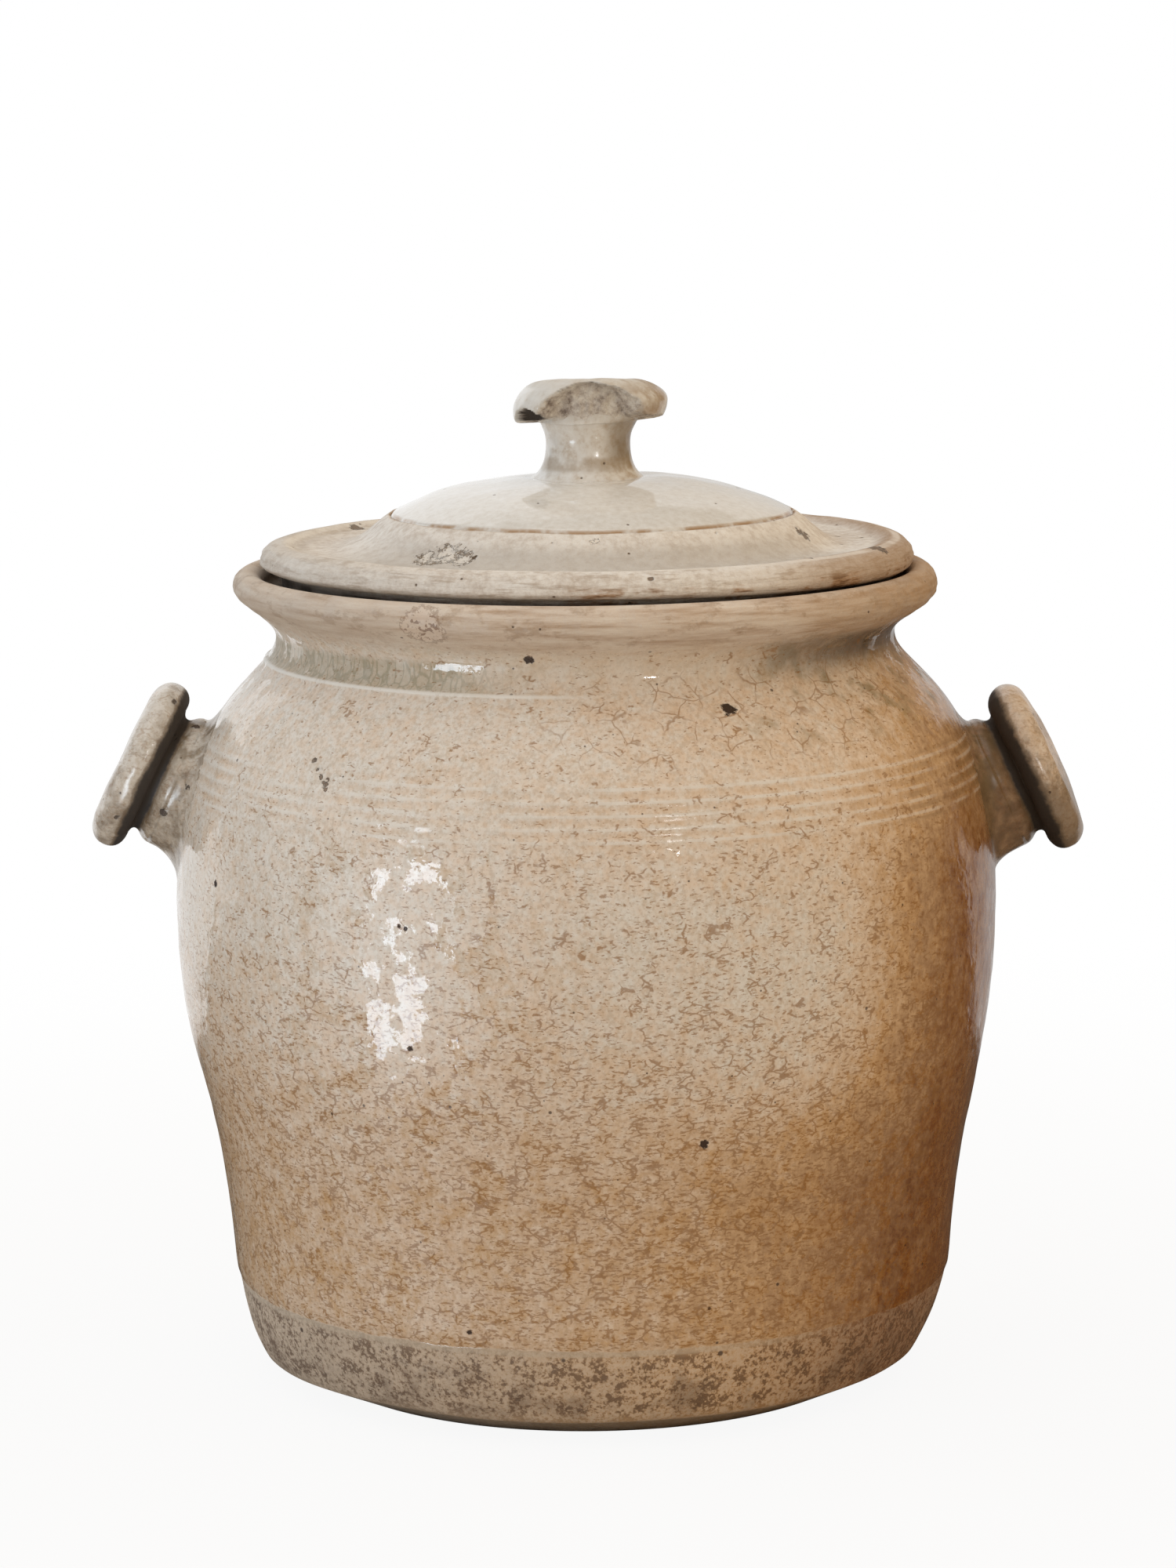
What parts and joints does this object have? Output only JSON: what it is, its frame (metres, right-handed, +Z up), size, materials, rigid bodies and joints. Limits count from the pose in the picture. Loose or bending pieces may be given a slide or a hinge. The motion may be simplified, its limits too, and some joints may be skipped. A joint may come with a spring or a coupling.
{
  "type": "stoneware confit pot",
  "caption": "Salt-glazed stoneware confit pot: swelling jar with a rolled lip, button-ended lug handles and a loose domed lid with a knob.",
  "frame": {"origin": "centre of the base, on the surface that the pot stands on", "axes": "+Z up along the pot's axis, +X through the right lug as seen from the front, -Y towards the viewer"},
  "size_m": [0.3108, 0.256, 0.3115],
  "materials": {
    "pot_glaze": "glossy beige salt glaze, crazed, on a bare rough foot",
    "lug_glaze": "glossy grey-beige salt glaze with pits",
    "luting_clay": "satin grey-brown glaze over a worked clay coil",
    "lid_slip": "dry matt beige-grey stoneware with worn glaze",
    "knob_glaze": "satin grey-beige glaze with matt chipped scars"
  },
  "bodies": {
    "pot": {"pot_body": "pot_glaze", "left_lug_stalk": "lug_glaze", "left_lug_luting": "luting_clay", "left_lug_button": "lug_glaze", "right_lug_stalk": "lug_glaze", "right_lug_luting": "luting_clay", "right_lug_button": "lug_glaze"},
    "lid": {"lid_plate": "lid_slip", "lid_knob": "knob_glaze", "lid_knob_luting": "luting_clay"}
  },
  "joints": [
    {"name": "lid_lift", "type": "slide", "parent": "pot", "child": "lid", "axis": [0, 0, 1], "range_m": [0, 0.15]}
  ]
}
